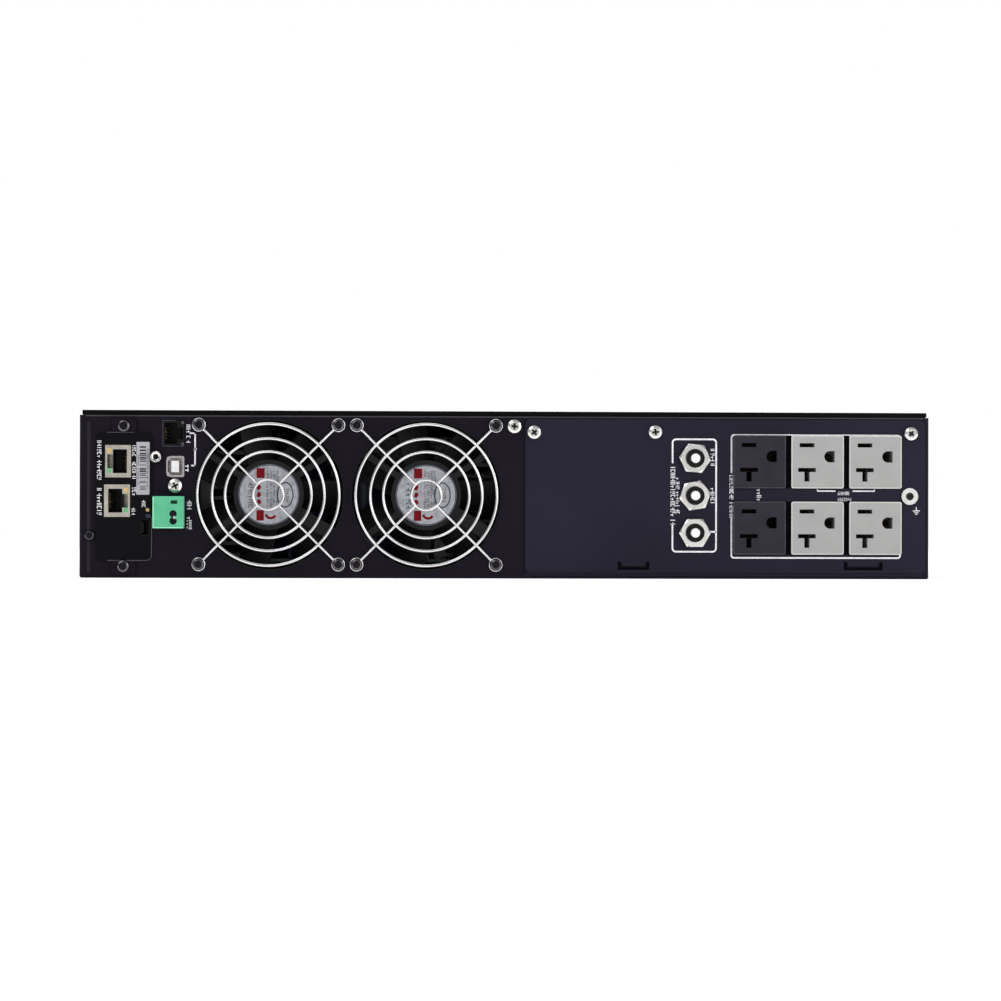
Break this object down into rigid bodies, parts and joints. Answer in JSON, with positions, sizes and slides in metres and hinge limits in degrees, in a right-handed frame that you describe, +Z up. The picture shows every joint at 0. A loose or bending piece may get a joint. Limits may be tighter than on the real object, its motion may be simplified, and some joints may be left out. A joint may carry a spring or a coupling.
{
  "type": "rackmount ups",
  "caption": "Flat black rack unit with battery drawer and display in front, fans with wire guards, a network card, breakers and mains outlets behind.",
  "frame": {"origin": "centre of the overall box, at the underside", "axes": "+Z up, +Y from the connector panel to the display front, +X to the right when facing the connector panel"},
  "size_m": [0.438, 0.5008, 0.086],
  "materials": {
    "powder_coat": "fine black powder coat",
    "lid_coat": "black powder coat",
    "black_screw": "blackened steel",
    "nickel": "bright nickel plating",
    "guard_chrome": "bright plated wire",
    "card_coat": "black powder coat",
    "board": "solder mask",
    "jack_shield": "tinned steel",
    "port_shell": "tinned steel",
    "paper_label": "matt label stock",
    "black_plastic": "moulded, fine grain",
    "jack_plastic": "moulded",
    "green_plastic": "moulded",
    "fan_plastic": "moulded",
    "rotor_plastic": "moulded, slight gloss",
    "outlet_black": "moulded thermoplastic",
    "outlet_grey": "moulded thermoplastic",
    "contact_brass": "stamped contact",
    "button_white": "moulded",
    "bezel_plastic": "moulded, spark texture",
    "lens": "smoked window",
    "lcd": "display glass",
    "key_plastic": "moulded",
    "power_key": "moulded",
    "zinc_sheet": "zinc coated sheet",
    "handle_plastic": "moulded",
    "battery_case": "moulded case",
    "lead_jacket": "cable jacket",
    "connector_grey": "moulded",
    "sink_aluminium": "extruded",
    "capacitor_sleeve": "shrink sleeve",
    "copper_winding": "enamelled winding",
    "relay_case": "moulded"
  },
  "bodies": {
    "chassis": {"chassis_pan": "powder_coat", "top_cover": "lid_coat", "cover_screws": "black_screw", "output_plate": "powder_coat", "panel_screws": "nickel", "black_screws": "black_screw", "card_guides": "black_plastic", "comms_board": "board", "usb_b_port": "port_shell", "rj12_jack": "jack_plastic", "terminal_header": "green_plastic", "fan_1_frame": "fan_plastic", "fan_1_guard": "guard_chrome", "fan_2_frame": "fan_plastic", "fan_2_guard": "guard_chrome", "fan_labels": "paper_label", "outlets_black": "outlet_black", "outlets_grey": "outlet_grey", "outlet_contacts": "contact_brass", "breaker_bodies": "black_plastic", "breaker_nuts": "nickel", "ground_terminal": "nickel", "front_panel": "zinc_sheet", "front_bezel": "bezel_plastic", "display_lens": "lens", "lcd_module": "lcd", "display_board": "board", "bay_receptacle": "connector_grey", "bay_walls": "zinc_sheet", "power_board": "board", "heat_sinks": "sink_aluminium", "dc_capacitors": "capacitor_sleeve", "magnetics": "copper_winding", "output_board": "board", "relays": "relay_case", "standoffs": "nickel"},
    "fan_rotor_1": {"fan_1_rotor": "rotor_plastic"},
    "fan_rotor_2": {"fan_2_rotor": "rotor_plastic"},
    "reset_1": {"breaker_button_1": "button_white"},
    "reset_2": {"breaker_button_2": "button_white"},
    "reset_3": {"breaker_button_3": "button_white"},
    "plug": {"terminal_plug": "green_plastic"},
    "card": {"card_faceplate": "card_coat", "card_screws": "black_screw", "card_pcb": "board", "ethernet_jacks": "jack_shield", "service_port": "jack_plastic", "card_sticker": "paper_label"},
    "key_power": {"power_button": "power_key"},
    "key_up": {"button_up": "key_plastic"},
    "key_down": {"button_down": "key_plastic"},
    "key_enter": {"button_enter": "key_plastic"},
    "drawer": {"battery_tray": "zinc_sheet", "drawer_handle": "handle_plastic", "batteries": "battery_case", "battery_leads": "lead_jacket", "drawer_plug": "connector_grey"},
    "fascia": {"battery_fascia": "bezel_plastic"},
    "thumb_left": {"thumbscrew_left": "nickel"},
    "thumb_right": {"thumbscrew_right": "nickel"}
  },
  "joints": [
    {"name": "fan_1_spin", "type": "hinge", "parent": "chassis", "child": "fan_rotor_1", "pos_m": [-0.1222, -0.2412, 0.0428], "axis": [0, 1, 0], "continuous": true},
    {"name": "fan_2_spin", "type": "hinge", "parent": "chassis", "child": "fan_rotor_2", "pos_m": [-0.0413, -0.2412, 0.0428], "axis": [0, 1, 0], "continuous": true},
    {"name": "reset_1_pop", "type": "slide", "parent": "chassis", "child": "reset_1", "axis": [0, -1, 0], "range_m": [0, 0.003]},
    {"name": "reset_2_pop", "type": "slide", "parent": "chassis", "child": "reset_2", "axis": [0, -1, 0], "range_m": [0, 0.003]},
    {"name": "reset_3_pop", "type": "slide", "parent": "chassis", "child": "reset_3", "axis": [0, -1, 0], "range_m": [0, 0.003]},
    {"name": "plug_pull", "type": "slide", "parent": "chassis", "child": "plug", "axis": [0, -1, 0], "range_m": [0, 0.012]},
    {"name": "card_slide", "type": "slide", "parent": "chassis", "child": "card", "axis": [0, -1, 0], "range_m": [0, 0.13]},
    {"name": "power_press", "type": "slide", "parent": "chassis", "child": "key_power", "axis": [0, -1, 0], "range_m": [0, 0.0008], "stiffness_N_per_m": 600},
    {"name": "up_press", "type": "slide", "parent": "chassis", "child": "key_up", "axis": [0, -1, 0], "range_m": [0, 0.0008], "stiffness_N_per_m": 600},
    {"name": "down_press", "type": "slide", "parent": "chassis", "child": "key_down", "axis": [0, -1, 0], "range_m": [0, 0.0008], "stiffness_N_per_m": 600},
    {"name": "enter_press", "type": "slide", "parent": "chassis", "child": "key_enter", "axis": [0, -1, 0], "range_m": [0, 0.0008], "stiffness_N_per_m": 600},
    {"name": "drawer_slide", "type": "slide", "parent": "chassis", "child": "drawer", "axis": [0, 1, 0], "range_m": [0, 0.2]},
    {"name": "fascia_pull", "type": "slide", "parent": "drawer", "child": "fascia", "axis": [0, 1, 0], "range_m": [0, 0.05]},
    {"name": "thumb_left_turn", "type": "hinge", "parent": "drawer", "child": "thumb_left", "pos_m": [-0.05, 0.2276, 0.079], "axis": [0, 1, 0], "range_deg": [0, 1080]},
    {"name": "thumb_right_turn", "type": "hinge", "parent": "drawer", "child": "thumb_right", "pos_m": [0.17, 0.2276, 0.079], "axis": [0, 1, 0], "range_deg": [0, 1080]}
  ]
}
